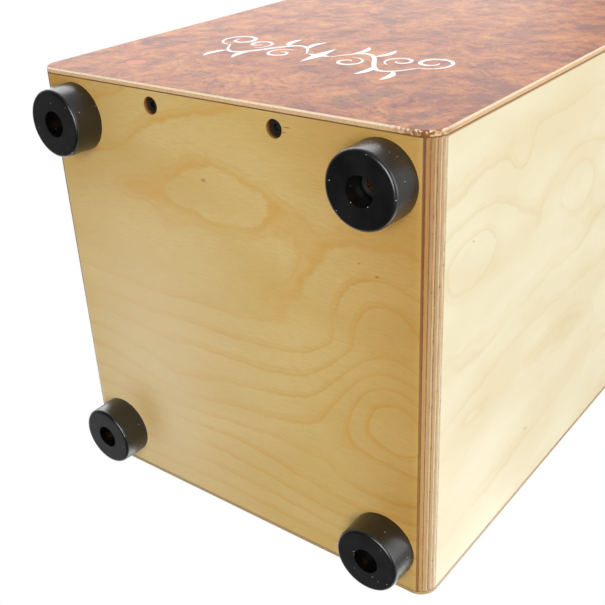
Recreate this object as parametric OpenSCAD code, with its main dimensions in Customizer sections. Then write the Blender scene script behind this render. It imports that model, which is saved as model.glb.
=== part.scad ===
// Snare-string cajon: a plywood box drum with a thin playing face (tapa), a soundhole in the back,
// four rubber feet and two pairs of snare strings that are tightened through the floor of the box.
// Frame: Z up, tapa facing -Y, origin at the bottom centre of the whole object.

/* [Cabinet] */
// Outer width of the box
body_w = 300; // [280:1:340]
// Depth of the side panels, from the tapa to the back panel
body_d = 297; // [280:1:340]
// Height of the box without its feet
body_h = 480; // [440:1:520]
// Thickness of the side, seat and bottom plywood
wall_t = 8; // [7:0.5:12]
// Radius of the round-over along the four long edges
corner_r = 12; // [10:0.5:13]

/* [Tapa and back] */
// Thickness of the playing face
tapa_t = 3.5; // [3:0.1:5]
// Bevel around the front of the tapa
tapa_bevel = 1; // [0.5:0.1:1.5]
// Thickness of the back panel
back_t = 3; // [3:0.5:6]
// Bevel around the outside of the back panel
back_bevel = 0.8; // [0.4:0.1:1.2]
// Diameter of the soundhole
sound_hole_d = 120; // [90:1:140]
// Height of the soundhole's centre above the floor
sound_hole_z = 330; // [250:1:380]

/* [Framework] */
// Width of the four corner battens
batten_w = 30; // [28:1:36]
// Height of the battens, and section of the cleats behind the tapa
batten_h = 20; // [20:1:24]
// Depth of the cleats in front of the back panel
back_cleat_d = 15; // [12:1:20]

/* [Feet] */
// Height of a foot
foot_h = 20; // [16:1:26]
// Diameter of a foot where it meets the box
foot_d = 45; // [40:0.5:48]
// Diameter of a foot at its free end
foot_end_d = 44.2; // [39:0.1:46]
// Radius of the free end's edge
foot_edge_r = 2; // [1:0.25:3]
// Diameter of the recess that hides the screw
foot_recess_d = 17; // [16.5:0.5:18]
// Distance from the middle of the box to a foot's axis, along the width
foot_x = 117.6; // [115:0.1:119]
// Distance from the back of the tapa to the front feet
foot_front = 26; // [24:0.5:40]
// Distance from the outside of the back panel to the rear feet
foot_rear = 31; // [28:0.5:45]

/* [String tuner] */
// Distance from the middle of the box to a tuning screw
tuner_x = 48; // [40:0.5:60]
// Distance from the back of the tapa to a tuning screw
tuner_y = 9.5; // [9:0.1:10.5]
// Diameter of the key holes in the bottom panel
key_hole_d = 11; // [10.6:0.1:11]
// How deep a screw's head lies inside its key hole
head_recess = 2.5; // [2:0.25:4]
// Thread diameter of a tuning screw
tuner_d = 5; // [4.5:0.1:5]
// Length of a tuning screw's shank
tuner_l = 60; // [56:1:64]
// Half the spacing of the two strings of a pair
string_half_gap = 8; // [7:0.5:9]
// Diameter of a snare string
string_d = 1; // [0.8:0.1:1]
// Distance from the back of the tapa to a string's axis
string_y = 1; // [1:0.1:1.2]
// Height of the string carriers above the floor, in the middle of their travel
carrier_z = 62; // [60:0.5:64]

/* [Hidden] */

$fn = 64;
LEFT = -1;
RIGHT = 1;
SIDES = [LEFT, RIGHT];
// Overlap that lets a cutter run past a face
past = 1;

// Plywood and framework colours
ply_colour = "burlywood";
timber_colour = "tan";

// Screw heads
tapa_head_h = 1.6;
tapa_head_d = 7.5;
wood_screw_d = 3.5;
wood_head_d = 7;
wood_head_h = 2.2;
foot_screw_d = 4.5;
foot_head_d = 9;
foot_head_h = 3.4;
// Radial gap between a screw and the hole that it is driven into
screw_gap = 0.05;
// Width and depth of the cross in a screw's head
cross_w = 0.9;
cross_depth = 1.1;

// Planes across the depth, from the front of the tapa's screw heads to the back panel
total_d = tapa_head_h + tapa_t + body_d + back_t;
head_front_y = -total_d / 2;
tapa_front_y = head_front_y + tapa_head_h;
glue_y = tapa_front_y + tapa_t;
rim_y = glue_y + body_d;
back_y = rim_y + back_t;

// Planes up the height
bottom_z = foot_h;
floor_z = bottom_z + wall_t;
top_z = bottom_z + body_h;
ceiling_z = top_z - wall_t;
lower_frame_z = floor_z + batten_h;
upper_frame_z = ceiling_z - batten_h;
middle_z = bottom_z + body_h / 2;

// Planes across the width
side_x = body_w / 2;
inner_x = side_x - wall_t;
batten_x = inner_x - batten_w;
post_x = inner_x - batten_h;

// Feet
foot_floor_t = 5;
foot_hole_d = 5.5;
foot_washer_d = 15;
foot_washer_t = 1.2;
foot_screw_l = 25;
foot_rows = [glue_y + foot_front, back_y - foot_rear];

// Tapa screws: an even row along the top and two more down each side
tapa_screw_l = 19;
tapa_edge = 18;
tapa_screw_pitch = (body_w - 2 * tapa_edge) / 4;
tapa_side_drop = 78;
tapa_screw_x = side_x - tapa_edge;
tapa_screw_z = top_z - tapa_edge;

// Tuning screw, washer and seat inside the front bottom cleat
tuner_axis_y = glue_y + tuner_y;
tuner_head_d = 8.5;
tuner_head_h = 5;
hex_key = 4;
hex_depth = 2.6;
tuner_face_z = bottom_z + head_recess;
tuner_shoulder_z = tuner_face_z + tuner_head_h;
washer_gap = 0.05;
washer_d = 10;
washer_t = 1;
washer_hole_d = 5.4;
seat_z = tuner_shoulder_z + washer_gap + washer_t;
tuner_clear_d = tuner_d + 0.3;

// String carrier
running_gap = 0.05;
carrier_w = 26;
carrier_h = 12;
carrier_front = 0.4;
carrier_back = 15;
slot_w = 1.6;
slot_back = string_y + string_d / 2 + 0.3;

// Guide bracket and anchor plate
plate_t = 2;
bracket_w = 48;
bracket_h = 38;
bracket_front = 2;
bracket_gap = 0.3;
bracket_screw_x = 18;
plate_w = 40;
plate_back = 18;
anchor_screw_x = 12;
plate_screw_y = 12;
wood_screw_l = 14;
rebate = 6;
plate_z = upper_frame_z - plate_t;

// Spools on the ends of the strings, with the string looped around their waist
spool_d = 3.8;
spool_w = 3.4;
spool_waist_d = 2;
spool_flange_t = 0.9;
loop_r = spool_waist_d / 2 + string_d / 2 + screw_gap;
spool_y = string_y + loop_r;
lower_spool_z = carrier_z - spool_d / 2;
upper_spool_z = upper_frame_z + spool_d / 2;
// Turns of a half loop about its spool, so that it passes below or above
LOWER_HALF = -90;
UPPER_HALF = 90;

// Mid-plane mirror for a piece that is drawn on the right
module on_side(side) {
    if (side == LEFT) mirror([1, 0, 0]) children();
    else children();
}

// Cuboid given by its two opposite corners
module block(low, high) {
    translate(low) cube(high - low);
}

// Round bar along +Y, starting at y
module bar_y(y, length, d) {
    translate([0, y, 0]) rotate([-90, 0, 0]) cylinder(d = d, h = length);
}

// Round bar along +Z, starting at z
module bar_z(z, length, d) {
    translate([0, 0, z]) cylinder(d = d, h = length);
}

// Outline of the box seen from the front, centred on the origin
module box_outline() {
    square([body_w - 2 * corner_r, body_h], center = true);
    square([body_w, body_h - 2 * corner_r], center = true);
    for (x = SIDES, y = SIDES)
        translate([x * (side_x - corner_r), y * (body_h / 2 - corner_r)]) circle(r = corner_r);
}

// Solid of the box's outline between two planes across the depth
module box_solid(y0, y1) {
    translate([0, y1, middle_z]) rotate([90, 0, 0]) linear_extrude(y1 - y0) box_outline();
}

// Plate of the box's outline, t thick, lying on z = 0 with a bevel around its upper face
module bevelled_plate(t, bevel) {
    straight = t - bevel;
    linear_extrude(straight) box_outline();
    for (x = SIDES, y = SIDES)
        translate([x * (side_x - corner_r), y * (body_h / 2 - corner_r), straight])
            cylinder(r1 = corner_r, r2 = corner_r - bevel, h = bevel);
    long = body_h - 2 * corner_r;
    wide = body_w - 2 * corner_r;
    translate([0, long / 2, straight]) rotate([90, 0, 0]) linear_extrude(long) bevel_section(side_x, bevel);
    translate([-wide / 2, 0, straight]) rotate([90, 0, 90]) linear_extrude(wide)
        bevel_section(body_h / 2, bevel);
}

module bevel_section(half, bevel) {
    polygon([[-half, 0], [half, 0], [half - bevel, bevel], [bevel - half, bevel]]);
}

// Cross-headed screw standing on z = 0, with its shank along +Z and its head below
module cross_screw(d, length, head_d, head_h) {
    point = d;
    dome_r = (head_d * head_d / 4 + head_h * head_h) / (2 * head_h);
    difference() {
        intersection() {
            translate([0, 0, dome_r - head_h]) sphere(r = dome_r, $fn = 96);
            bar_z(-head_h, head_h, head_d);
        }
        for (turn = [0, 90])
            rotate([0, 0, turn]) translate([0, 0, cross_depth / 2 - head_h])
                cube([head_d / 2, cross_w, cross_depth], center = true);
    }
    bar_z(0, length - point, d);
    translate([0, 0, length - point]) cylinder(d1 = d, d2 = d / 4, h = point);
}

// Places for what repeats
module at_feet() {
    for (x = SIDES, y = foot_rows) translate([x * foot_x, y, 0]) children();
}

module at_tapa_screws() {
    for (i = [-2:2]) translate([i * tapa_screw_pitch, 0, tapa_screw_z]) children();
    for (x = SIDES, row = [1, 2])
        translate([x * tapa_screw_x, 0, tapa_screw_z - row * tapa_side_drop]) children();
}

module at_tuners() {
    for (x = SIDES) translate([x * tuner_x, tuner_axis_y, 0]) children();
}

module at_bracket_screws() {
    for (x = SIDES, offset = [-bracket_screw_x, bracket_screw_x])
        translate([x * tuner_x + offset, tuner_axis_y, lower_frame_z + plate_t]) children();
}

module at_anchor_screws() {
    for (x = SIDES, offset = [-anchor_screw_x, anchor_screw_x])
        translate([x * tuner_x + offset, glue_y + plate_screw_y, plate_z]) children();
}

// Holes that screws are driven into
module foot_screw_holes() {
    at_feet() bar_z(0, foot_screw_l + foot_h, foot_screw_d + 2 * screw_gap);
}

module tapa_screw_holes() {
    at_tapa_screws()
        bar_y(tapa_front_y - past, tapa_screw_l + past + screw_gap, wood_screw_d + 2 * screw_gap);
}

module bracket_screw_holes() {
    at_bracket_screws() bar_z(past - wood_screw_l, wood_screw_l, wood_screw_d + 2 * screw_gap);
}

module anchor_screw_holes() {
    at_anchor_screws() bar_z(-past, wood_screw_l + past, wood_screw_d + 2 * screw_gap);
}

// Cabinet panels
module side_panel(side) {
    color(ply_colour) intersection() {
        box_solid(glue_y, rim_y);
        on_side(side) block([inner_x, glue_y, bottom_z], [side_x, rim_y, top_z]);
    }
}

module left_side_panel() {
    side_panel(LEFT);
}

module right_side_panel() {
    side_panel(RIGHT);
}

module seat_panel() {
    color(ply_colour) intersection() {
        box_solid(glue_y, rim_y);
        block([-inner_x, glue_y, ceiling_z], [inner_x, rim_y, top_z]);
    }
}

module bottom_panel() {
    color(ply_colour) difference() {
        intersection() {
            box_solid(glue_y, rim_y);
            block([-inner_x, glue_y, bottom_z], [inner_x, rim_y, floor_z]);
        }
        at_tuners() bar_z(bottom_z - past, wall_t + 2 * past, key_hole_d);
        foot_screw_holes();
    }
}

module back_panel() {
    color(ply_colour) difference() {
        translate([0, rim_y, middle_z]) rotate([90, 0, 180]) bevelled_plate(back_t, back_bevel);
        translate([0, 0, sound_hole_z]) bar_y(rim_y - past, back_t + 2 * past, sound_hole_d, $fn = 128);
    }
}

module tapa() {
    color("sienna") difference() {
        translate([0, glue_y, middle_z]) rotate([90, 0, 0]) bevelled_plate(tapa_t, tapa_bevel);
        tapa_screw_holes();
    }
}

// Framework
module corner_batten(side, low_z) {
    color(timber_colour) difference() {
        on_side(side) block([batten_x, glue_y, low_z], [inner_x, rim_y, low_z + batten_h]);
        foot_screw_holes();
        tapa_screw_holes();
    }
}

module left_bottom_batten() {
    corner_batten(LEFT, floor_z);
}

module right_bottom_batten() {
    corner_batten(RIGHT, floor_z);
}

module left_top_batten() {
    corner_batten(LEFT, upper_frame_z);
}

module right_top_batten() {
    corner_batten(RIGHT, upper_frame_z);
}

// Three lengths of one bar, with a sawn gap between them for each tuning screw
module front_bottom_cleat() {
    color(timber_colour) difference() {
        block([-batten_x, glue_y, floor_z], [batten_x, glue_y + batten_h, lower_frame_z]);
        at_tuners() bar_z(floor_z - past, seat_z - floor_z + past, key_hole_d);
        for (x = SIDES)
            translate([x * tuner_x, 0, 0])
                block([-tuner_clear_d / 2, glue_y - past, floor_z - past],
                      [tuner_clear_d / 2, glue_y + batten_h + past, lower_frame_z + past]);
        bracket_screw_holes();
    }
}

module front_top_cleat() {
    color(timber_colour) difference() {
        block([-batten_x, glue_y, upper_frame_z], [batten_x, glue_y + batten_h, ceiling_z]);
        for (x = SIDES)
            translate([x * tuner_x, 0, 0])
                block([-plate_w / 2, glue_y - past, upper_frame_z - past],
                      [plate_w / 2, glue_y + rebate, upper_frame_z + rebate]);
        anchor_screw_holes();
        tapa_screw_holes();
    }
}

module front_post(side) {
    color(timber_colour) difference() {
        on_side(side) block([post_x, glue_y, lower_frame_z], [inner_x, glue_y + batten_h, upper_frame_z]);
        tapa_screw_holes();
    }
}

module front_left_cleat() {
    front_post(LEFT);
}

module front_right_cleat() {
    front_post(RIGHT);
}

module back_bottom_cleat() {
    color(timber_colour)
        block([-batten_x, rim_y - back_cleat_d, floor_z], [batten_x, rim_y, lower_frame_z]);
}

module back_top_cleat() {
    color(timber_colour)
        block([-batten_x, rim_y - back_cleat_d, upper_frame_z], [batten_x, rim_y, ceiling_z]);
}

module back_post(side) {
    color(timber_colour) on_side(side)
        block([post_x, rim_y - back_cleat_d, lower_frame_z], [inner_x, rim_y, upper_frame_z]);
}

module back_left_cleat() {
    back_post(LEFT);
}

module back_right_cleat() {
    back_post(RIGHT);
}

// Feet
module foot_profile() {
    end_r = foot_end_d / 2;
    polygon([
        [0, 0],
        [end_r - foot_edge_r, 0],
        [end_r - foot_edge_r, foot_edge_r],
        [end_r, foot_edge_r],
        [foot_d / 2, foot_h],
        [0, foot_h]
    ]);
    translate([end_r - foot_edge_r, foot_edge_r]) circle(r = foot_edge_r);
}

module foot(side, y) {
    color("dimgray") translate([side * foot_x, y, 0]) difference() {
        rotate_extrude() foot_profile();
        bar_z(-past, foot_h - foot_floor_t + past, foot_recess_d);
        bar_z(0, foot_h + past, foot_hole_d);
    }
}

module front_left_foot() {
    foot(LEFT, foot_rows[0]);
}

module front_right_foot() {
    foot(RIGHT, foot_rows[0]);
}

module back_left_foot() {
    foot(LEFT, foot_rows[1]);
}

module back_right_foot() {
    foot(RIGHT, foot_rows[1]);
}

module foot_washers() {
    color("silver") at_feet() difference() {
        bar_z(foot_h - foot_floor_t - foot_washer_t, foot_washer_t, foot_washer_d);
        bar_z(0, foot_h, foot_screw_d + 4 * screw_gap);
    }
}

module foot_screws() {
    color("goldenrod") at_feet() translate([0, 0, foot_h - foot_floor_t - foot_washer_t])
        cross_screw(foot_screw_d, foot_screw_l, foot_head_d, foot_head_h);
}

module tapa_screws() {
    color("silver") at_tapa_screws() translate([0, tapa_front_y, 0]) rotate([-90, 0, 0])
        cross_screw(wood_screw_d, tapa_screw_l, tapa_head_d, tapa_head_h);
}

// String tuners
module tuning_screw(side) {
    color("black") translate([side * tuner_x, tuner_axis_y, 0]) {
        difference() {
            bar_z(tuner_face_z, tuner_head_h, tuner_head_d);
            translate([0, 0, tuner_face_z - past])
                cylinder(d = hex_key / cos(30), h = hex_depth + past, $fn = 6);
        }
        bar_z(tuner_shoulder_z, tuner_l, tuner_d);
    }
}

module left_tuning_screw() {
    tuning_screw(LEFT);
}

module right_tuning_screw() {
    tuning_screw(RIGHT);
}

module tuner_washers() {
    color("silver") at_tuners() difference() {
        bar_z(seat_z - washer_t, washer_t, washer_d);
        bar_z(bottom_z, batten_h, washer_hole_d);
    }
}

module string_slots(z, height) {
    for (x = SIDES)
        translate([x * string_half_gap, 0, 0])
            block([-slot_w / 2, glue_y, z], [slot_w / 2, glue_y + slot_back, z + height]);
}

module string_carrier(side) {
    color("gold") translate([side * tuner_x, 0, 0]) difference() {
        block([-carrier_w / 2, glue_y + carrier_front, carrier_z],
              [carrier_w / 2, glue_y + carrier_back, carrier_z + carrier_h]);
        string_slots(carrier_z - past, carrier_h + 2 * past);
        translate([0, tuner_axis_y, 0])
            bar_z(carrier_z - past, carrier_h + 2 * past, tuner_d + 2 * running_gap);
    }
}

module left_string_carrier() {
    string_carrier(LEFT);
}

module right_string_carrier() {
    string_carrier(RIGHT);
}

module guide_bracket(side) {
    fence_y = glue_y + carrier_back + bracket_gap;
    color("silver") difference() {
        translate([side * tuner_x, 0, 0]) union() {
            block([-bracket_w / 2, glue_y + bracket_front, lower_frame_z],
                  [bracket_w / 2, fence_y + plate_t, lower_frame_z + plate_t]);
            block([-bracket_w / 2, fence_y, lower_frame_z],
                  [bracket_w / 2, fence_y + plate_t, lower_frame_z + bracket_h]);
        }
        at_tuners() bar_z(lower_frame_z - past, plate_t + 2 * past, tuner_clear_d);
        bracket_screw_holes();
    }
}

module left_guide_bracket() {
    guide_bracket(LEFT);
}

module right_guide_bracket() {
    guide_bracket(RIGHT);
}

module guide_bracket_screws() {
    color("goldenrod") at_bracket_screws() mirror([0, 0, 1])
        cross_screw(wood_screw_d, wood_screw_l - past, wood_head_d, wood_head_h);
}

module anchor_plate(side) {
    color("silver") difference() {
        translate([side * tuner_x, 0, 0]) difference() {
            block([-plate_w / 2, glue_y + carrier_front, plate_z],
                  [plate_w / 2, glue_y + plate_back, upper_frame_z]);
            string_slots(plate_z - past, plate_t + 2 * past);
        }
        anchor_screw_holes();
    }
}

module left_anchor_plate() {
    anchor_plate(LEFT);
}

module right_anchor_plate() {
    anchor_plate(RIGHT);
}

module anchor_plate_screws() {
    color("goldenrod") at_anchor_screws()
        cross_screw(wood_screw_d, wood_screw_l - past, wood_head_d, wood_head_h);
}

// Snare strings
module at_strings(side) {
    for (x = SIDES) translate([side * tuner_x + x * string_half_gap, glue_y, 0]) children();
}

module spool(z) {
    translate([-spool_w / 2, spool_y, z]) rotate([0, 90, 0]) {
        cylinder(d = spool_waist_d, h = spool_w);
        cylinder(d = spool_d, h = spool_flange_t);
        translate([0, 0, spool_w - spool_flange_t]) cylinder(d = spool_d, h = spool_flange_t);
    }
}

// A straight string with an open loop around each spool
module snare_string() {
    translate([0, string_y, lower_spool_z]) cylinder(d = string_d, h = upper_spool_z - lower_spool_z);
    string_loop(lower_spool_z, LOWER_HALF);
    string_loop(upper_spool_z, UPPER_HALF);
}

module string_loop(z, turn) {
    translate([0, spool_y, z]) rotate([0, 90, 0]) rotate([0, 0, turn])
        rotate_extrude(angle = 180) translate([loop_r, 0]) circle(d = string_d, $fn = 24);
}

module left_lower_string_ends() {
    color("gold") at_strings(LEFT) spool(lower_spool_z);
}

module right_lower_string_ends() {
    color("gold") at_strings(RIGHT) spool(lower_spool_z);
}

module upper_string_ends() {
    color("gold") for (side = SIDES) at_strings(side) spool(upper_spool_z);
}

module left_snare_strings() {
    color("lightgray") at_strings(LEFT) snare_string();
}

module right_snare_strings() {
    color("lightgray") at_strings(RIGHT) snare_string();
}

left_side_panel();
right_side_panel();
seat_panel();
bottom_panel();
back_panel();
tapa();
left_bottom_batten();
right_bottom_batten();
left_top_batten();
right_top_batten();
front_bottom_cleat();
front_top_cleat();
front_left_cleat();
front_right_cleat();
back_bottom_cleat();
back_top_cleat();
back_left_cleat();
back_right_cleat();
front_left_foot();
front_right_foot();
back_left_foot();
back_right_foot();
foot_washers();
foot_screws();
tapa_screws();
left_tuning_screw();
right_tuning_screw();
tuner_washers();
left_string_carrier();
right_string_carrier();
left_guide_bracket();
right_guide_bracket();
guide_bracket_screws();
left_anchor_plate();
right_anchor_plate();
anchor_plate_screws();
left_lower_string_ends();
right_lower_string_ends();
upper_string_ends();
left_snare_strings();
right_snare_strings();
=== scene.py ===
"""Looks for a snare-string cajon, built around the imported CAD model.

Frame: metres, Z up, tapa facing -Y. Lengths below are in millimetres where a name ends in _mm.
"""
import math

import bmesh
import bpy
from mathutils import Matrix, Vector


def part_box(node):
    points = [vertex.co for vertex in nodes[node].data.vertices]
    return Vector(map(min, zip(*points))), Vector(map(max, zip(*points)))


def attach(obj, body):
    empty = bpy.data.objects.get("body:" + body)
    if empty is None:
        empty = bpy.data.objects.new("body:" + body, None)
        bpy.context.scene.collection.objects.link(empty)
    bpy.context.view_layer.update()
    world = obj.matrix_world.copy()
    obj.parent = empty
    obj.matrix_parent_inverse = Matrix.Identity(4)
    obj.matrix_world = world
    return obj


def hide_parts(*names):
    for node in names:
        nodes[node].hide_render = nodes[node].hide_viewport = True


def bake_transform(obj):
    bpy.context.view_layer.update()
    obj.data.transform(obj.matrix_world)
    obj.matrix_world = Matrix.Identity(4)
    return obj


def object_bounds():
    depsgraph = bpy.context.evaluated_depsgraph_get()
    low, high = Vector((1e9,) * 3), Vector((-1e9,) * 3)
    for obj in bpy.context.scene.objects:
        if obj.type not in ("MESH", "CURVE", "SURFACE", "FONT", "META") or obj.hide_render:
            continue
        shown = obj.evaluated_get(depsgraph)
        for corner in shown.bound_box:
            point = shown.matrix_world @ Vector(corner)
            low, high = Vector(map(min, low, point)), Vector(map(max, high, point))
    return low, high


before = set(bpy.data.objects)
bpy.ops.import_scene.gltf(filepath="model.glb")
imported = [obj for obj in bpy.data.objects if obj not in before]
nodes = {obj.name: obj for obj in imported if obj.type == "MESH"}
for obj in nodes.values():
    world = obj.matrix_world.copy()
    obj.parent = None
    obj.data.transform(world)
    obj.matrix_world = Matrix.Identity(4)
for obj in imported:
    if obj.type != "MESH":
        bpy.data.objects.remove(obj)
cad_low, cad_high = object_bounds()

MM = 0.001


# ---------------------------------------------------------------- places from the frame

def box_mm(node):
    """A CAD node's lowest and highest corner in millimetres."""
    low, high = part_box(node)
    return low / MM, high / MM


side_low, side_high = box_mm("right_side_panel")
bottom_low, _ = box_mm("bottom_panel")
tapa_low, tapa_high = box_mm("tapa")
_, back_high = box_mm("back_panel")
SIDE_X = side_high.x
WALL = side_high.x - side_low.x
BOTTOM_Z = bottom_low.z
GLUE_Y = tapa_high.y
TAPA_FRONT_Y = tapa_low.y
RIM_Y = side_high.y
BACK_Y = back_high.y


def centre_mm(node):
    low, high = box_mm(node)
    return (low + high) / 2


KEY_HOLES = [centre_mm("left_tuning_screw"), centre_mm("right_tuning_screw")]


# ---------------------------------------------------------------- node graph helper

class Graph:
    """One material's node tree, with short forms for the nodes that the materials below use."""

    def __init__(self, name):
        self.material = bpy.data.materials.new(name)
        self.material.use_nodes = True
        self.tree = self.material.node_tree
        self.tree.nodes.clear()
        self.place = self.new("ShaderNodeTexCoord").outputs["Object"]
        self.mm = self.vector("SCALE", self.place, scale=1 / MM)
        split = self.new("ShaderNodeSeparateXYZ")
        self.link(self.mm, split.inputs[0])
        self.x, self.y, self.z = split.outputs

    def new(self, kind, **settings):
        node = self.tree.nodes.new(kind)
        for key, value in settings.items():
            setattr(node, key, value)
        return node

    def link(self, value, socket):
        if isinstance(value, bpy.types.NodeSocket):
            self.tree.links.new(value, socket)
        else:
            socket.default_value = value

    def math(self, operation, *values, clamp=False):
        node = self.new("ShaderNodeMath", operation=operation, use_clamp=clamp)
        for socket, value in zip(node.inputs, values):
            self.link(value, socket)
        return node.outputs[0]

    def add(self, first, *rest):
        for value in rest:
            first = self.math("ADD", first, value)
        return first

    def times(self, first, *rest):
        for value in rest:
            first = self.math("MULTIPLY", first, value)
        return first

    def vector(self, operation, a, b=None, scale=None):
        node = self.new("ShaderNodeVectorMath", operation=operation)
        self.link(a, node.inputs[0])
        if b is not None:
            self.link(b, node.inputs[1])
        if scale is not None:
            self.link(scale, node.inputs["Scale"])
        return node.outputs["Value" if operation in ("LENGTH", "DOT_PRODUCT") else "Vector"]

    def combine(self, x, y, z):
        node = self.new("ShaderNodeCombineXYZ")
        for socket, value in zip(node.inputs, (x, y, z)):
            self.link(value, socket)
        return node.outputs[0]

    def noise(self, vector, scale, detail=2.0, roughness=0.5, colour=False):
        node = self.new("ShaderNodeTexNoise")
        self.link(vector, node.inputs["Vector"])
        self.link(scale, node.inputs["Scale"])
        self.link(detail, node.inputs["Detail"])
        self.link(roughness, node.inputs["Roughness"])
        return node.outputs["Color" if colour else "Fac"]

    def voronoi(self, vector, scale, output="Distance"):
        node = self.new("ShaderNodeTexVoronoi")
        self.link(vector, node.inputs["Vector"])
        self.link(scale, node.inputs["Scale"])
        return node.outputs[output]

    def span(self, value, low, high, to_low=0.0, to_high=1.0):
        """value mapped from low..high to to_low..to_high and held at the ends."""
        node = self.new("ShaderNodeMapRange", interpolation_type="SMOOTHSTEP")
        for name, number in zip(
            ("Value", "From Min", "From Max", "To Min", "To Max"), (value, low, high, to_low, to_high)
        ):
            self.link(number, node.inputs[name])
        return node.outputs["Result"]

    def mix(self, factor, a, b, blend="MIX"):
        node = self.new("ShaderNodeMix", data_type="RGBA", blend_type=blend)
        self.link(factor, node.inputs[0])
        for socket, value in ((node.inputs[6], a), (node.inputs[7], b)):
            self.link(value if isinstance(value, bpy.types.NodeSocket) else (*value, 1.0), socket)
        return node.outputs[2]

    def ramp(self, value, stops):
        node = self.new("ShaderNodeValToRGB")
        self.link(value, node.inputs[0])
        elements = node.color_ramp.elements
        while len(elements) < len(stops):
            elements.new(1.0)
        for element, (position, colour) in zip(elements, stops):
            element.position = position
            element.color = (*colour, 1.0)
        return node.outputs[0]

    def bump(self, height, strength, distance_mm):
        node = self.new("ShaderNodeBump")
        self.link(height, node.inputs["Height"])
        node.inputs["Strength"].default_value = strength
        node.inputs["Distance"].default_value = distance_mm * MM
        return node.outputs[0]

    def finish(self, colour, roughness, normal=None, metallic=0.0, specular=0.5):
        shader = self.new("ShaderNodeBsdfPrincipled")
        self.link(colour if isinstance(colour, bpy.types.NodeSocket) else (*colour, 1.0),
                  shader.inputs["Base Color"])
        self.link(roughness, shader.inputs["Roughness"])
        shader.inputs["Metallic"].default_value = metallic
        shader.inputs["Specular IOR Level"].default_value = specular
        if normal is not None:
            self.link(normal, shader.inputs["Normal"])
        output = self.new("ShaderNodeOutputMaterial")
        self.link(shader.outputs[0], output.inputs["Surface"])
        return self.material


def srgb(red, green, blue):
    """A linear colour from the usual 0 to 255 numbers."""
    return tuple(
        v / 12.92 if v <= 0.04045 else ((v + 0.055) / 1.055) ** 2.4
        for v in (red / 255, green / 255, blue / 255)
    )


# ---------------------------------------------------------------- birch plywood

GLUE_LINE_MM = 0.13


def ramp_up(g, value, knee):
    """A ramp that is 0 well below value 0 and value itself well above, rounded over about knee."""
    square = g.add(g.times(value, value), knee * knee)
    return g.times(g.add(value, g.math("SQRT", square)), 0.5)


def hill(g, across, along, hill_mm):
    """A smooth bump or pit in the field whose level lines are the growth rings."""
    centre_a, centre_b, radius_a, radius_b, height = hill_mm
    a = g.math("DIVIDE", g.math("SUBTRACT", across, centre_a), radius_a)
    b = g.math("DIVIDE", g.math("SUBTRACT", along, centre_b), radius_b)
    square = g.add(g.times(a, a), g.times(b, b))
    return g.times(g.math("EXPONENT", g.times(square, -1.0)), height)


def wavering(g, across, along, seed):
    """Slow and quick wander of the growth rings, in rings."""
    slow = g.noise(g.combine(g.times(across, 0.016), g.times(along, 0.009), seed), 1.0, 1.0)
    quick = g.noise(g.combine(g.times(across, 0.06), g.times(along, 0.035), seed + 5.0), 1.0, 3.0, 0.6)
    return g.add(g.times(g.math("SUBTRACT", slow, 0.5), 0.8), g.times(g.math("SUBTRACT", quick, 0.5), 0.46))


def birch_face(g, across, along, rings, palette, seed=0.0, contrast=1.0, flecks=()):
    """Colour and height of a lacquered rotary-cut birch face, with its grain along the second direction.

    rings is the field, in rings, and palette holds pale, warm, ring and dark colours.
    """
    pale, warm, ring, dark = palette
    step = g.math("FRACT", g.add(rings, wavering(g, across, along, seed)))
    late = g.times(g.span(step, 0.60, 0.90), g.span(step, 0.88, 1.0, 1.0, 0.0))
    sharp = g.times(g.span(step, 0.80, 0.92), g.span(step, 0.92, 1.0, 1.0, 0.0))
    echo = g.times(g.span(step, 0.66, 0.72), g.span(step, 0.72, 0.78, 1.0, 0.0))
    patch = g.noise(g.combine(g.times(across, 0.016), g.times(along, 0.011), seed + 9.0), 1.0, 2.0)
    strength = g.span(patch, 0.34, 0.64, 0.40, 1.0)
    cloud = g.noise(g.combine(g.times(across, 0.022), g.times(along, 0.008), seed + 2.0), 1.0, 3.0)
    fibre = g.noise(g.combine(g.times(across, 1.7), g.times(along, 0.085), seed), 1.0, 4.0, 0.65)
    vessel = g.noise(g.combine(g.times(across, 4.2), g.times(along, 0.26), seed + 1.0), 1.0, 1.0)
    mottle = g.noise(g.combine(g.times(across, 0.5), g.times(along, 0.12), seed + 6.0), 1.0, 3.0, 0.6)

    colour = g.mix(g.span(cloud, 0.3, 0.7), pale, warm)
    colour = g.mix(g.span(mottle, 0.4, 0.7, 0.0, 0.35 * contrast), colour, warm)
    colour = g.mix(g.times(late, strength, 0.50 * contrast), colour, ring)
    colour = g.mix(g.times(g.add(sharp, g.times(echo, 0.6)), strength, 0.62 * contrast), colour, ring)
    colour = g.mix(g.span(fibre, 0.38, 0.72, 0.0, 0.20 * contrast), colour, dark)
    colour = g.mix(g.span(vessel, 0.60, 0.74, 0.0, 0.20 * contrast), colour, dark)
    for fleck_a, fleck_b, size in flecks:
        a = g.math("DIVIDE", g.math("SUBTRACT", across, fleck_a), size)
        b = g.math("DIVIDE", g.math("SUBTRACT", along, fleck_b), 2.2 * size)
        near = g.math("SQRT", g.add(g.times(a, a), g.times(b, b)))
        colour = g.mix(g.span(near, 0.5, 1.3, 0.6, 0.0), colour, srgb(140, 96, 44))
    height = g.add(g.times(fibre, 0.6), g.times(vessel, 0.4))
    return colour, height


# AMBER for the underside, CREAM for the sides and HONEY for the rest: one plywood, with the underside
# deeper and the sides paler partly as painted shade and painted light
AMBER = [srgb(222, 192, 126), srgb(214, 180, 108), srgb(214, 165, 80), srgb(172, 126, 60)]
CREAM = [srgb(238, 228, 195), srgb(230, 216, 176), srgb(214, 186, 126), srgb(204, 178, 130)]
HONEY = [srgb(228, 207, 158), srgb(218, 190, 132), srgb(204, 160, 92), srgb(178, 138, 78)]


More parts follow.
